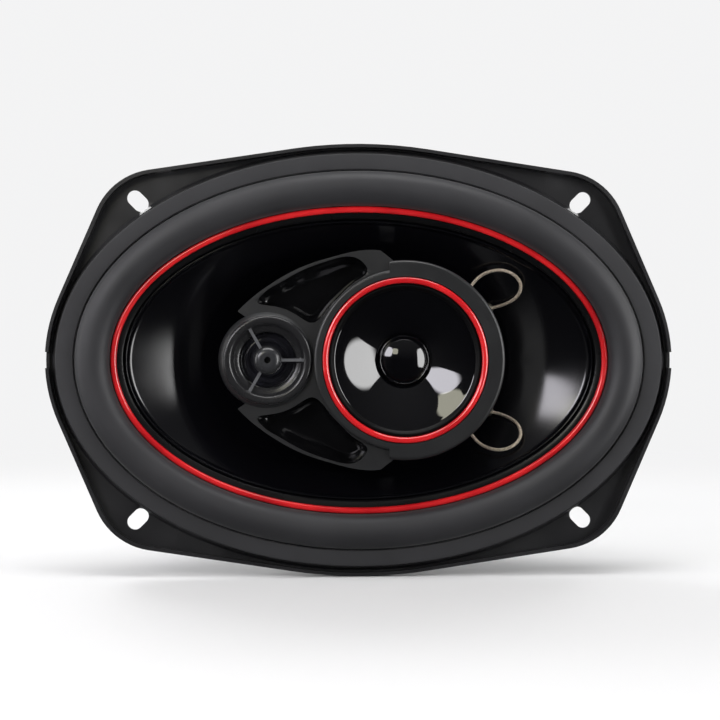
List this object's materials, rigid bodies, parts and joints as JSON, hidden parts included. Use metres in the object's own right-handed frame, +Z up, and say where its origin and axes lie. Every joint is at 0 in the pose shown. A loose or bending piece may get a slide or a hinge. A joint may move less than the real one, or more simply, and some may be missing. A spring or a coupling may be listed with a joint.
{
  "type": "coaxial car speaker",
  "caption": "Oval three-way coaxial car speaker: pressed basket with ears, ferrite motor, gloss cone with red trim bead, and a fixed pod holding a midrange and a small tweeter.",
  "frame": {"origin": "centre of the mounting flange's back face", "axes": "+X along the long side, to the right as seen from the listener; +Z up along the short side; the cone faces -Y and the magnet stands out towards +Y"},
  "size_m": [0.235, 0.104, 0.162],
  "materials": {
    "basket_paint": "satin black paint on pressed steel",
    "top_plate_paint": "satin black paint",
    "ferrite": "ground ferrite, dark grey with handling smudges",
    "zinc_plate": "bright zinc plating with a faint mottle",
    "label_ring": "maroon printed film with a fine mesh pattern",
    "label_disc": "brushed silver foil",
    "cone_gloss": "injection-moulded cone, piano black",
    "surround_rubber": "matte charcoal rubber",
    "trim_red": "glossy red bead",
    "gasket_felt": "matte charcoal gasket",
    "aluminium_foil": "bare foil",
    "coil_wire": "enamelled copper wire",
    "spider_cloth": "resin-dipped woven cloth",
    "post_metal": "turned metal",
    "pod_plastic": "satin black moulding",
    "pod_plastic_inner": "black moulding",
    "bezel_plastic": "semi-gloss black moulding",
    "screw_steel": "black oxide steel",
    "dome_film": "thin dark film",
    "neodymium": "nickel plated magnet",
    "braid_wire": "braided tinsel wire",
    "eyelet_metal": "blackened eyelet",
    "terminal_board": "cream laminate board",
    "tin_plate": "bright tin plating",
    "capacitor_sleeve": "dark shrink sleeve"
  },
  "bodies": {
    "frame": {"basket": "basket_paint", "top_plate": "top_plate_paint", "magnet": "ferrite", "back_yoke": "zinc_plate", "back_label_ring": "label_ring", "back_label_disc": "label_disc", "front_gasket": "gasket_felt", "woofer_surround": "surround_rubber", "spider": "spider_cloth", "pod_post": "post_metal", "pod_housing": "pod_plastic", "pod_base": "pod_plastic", "pod_screw": "screw_steel", "mid_frame": "pod_plastic_inner", "mid_top_plate": "zinc_plate", "mid_magnet": "ferrite", "mid_yoke": "zinc_plate", "mid_surround": "surround_rubber", "mid_trim_ring": "trim_red", "tweeter_bezel": "bezel_plastic", "tweeter_surround": "dome_film", "tweeter_plate": "zinc_plate", "tweeter_yoke": "zinc_plate", "tweeter_magnet": "neodymium", "front_lead_upper": "braid_wire", "front_lead_lower": "braid_wire", "rear_lead_upper": "braid_wire", "rear_lead_lower": "braid_wire", "terminal_board": "terminal_board", "terminal_blade_wide": "tin_plate", "terminal_blade_narrow": "tin_plate", "terminal_rivets": "tin_plate", "mid_capacitor": "capacitor_sleeve", "tweeter_capacitor": "capacitor_sleeve"},
    "woofer_diaphragm": {"woofer_cone": "cone_gloss", "woofer_trim_ring": "trim_red", "voice_coil_former": "aluminium_foil", "voice_coil_winding": "coil_wire", "lead_eyelets": "eyelet_metal"},
    "mid_diaphragm": {"mid_cone": "cone_gloss", "mid_dust_cap": "cone_gloss", "mid_coil_former": "aluminium_foil", "mid_coil_winding": "coil_wire"},
    "tweeter_diaphragm": {"tweeter_dome": "dome_film", "tweeter_coil": "coil_wire"}
  },
  "joints": [
    {"name": "woofer_excursion", "type": "slide", "parent": "frame", "child": "woofer_diaphragm", "axis": [0, -1, 0], "range_m": [-0.005, 0.005], "stiffness_N_per_m": 900, "deforming": ["woofer_surround", "spider", "front_lead_upper", "front_lead_lower", "rear_lead_upper", "rear_lead_lower"]},
    {"name": "mid_excursion", "type": "slide", "parent": "frame", "child": "mid_diaphragm", "axis": [0, -1, 0], "range_m": [-0.0008, 0.0008], "stiffness_N_per_m": 1500, "deforming": ["mid_surround"]},
    {"name": "tweeter_excursion", "type": "slide", "parent": "frame", "child": "tweeter_diaphragm", "axis": [0, -1, 0], "range_m": [-0.00025, 0.00025], "stiffness_N_per_m": 2500, "deforming": ["tweeter_surround"]}
  ]
}
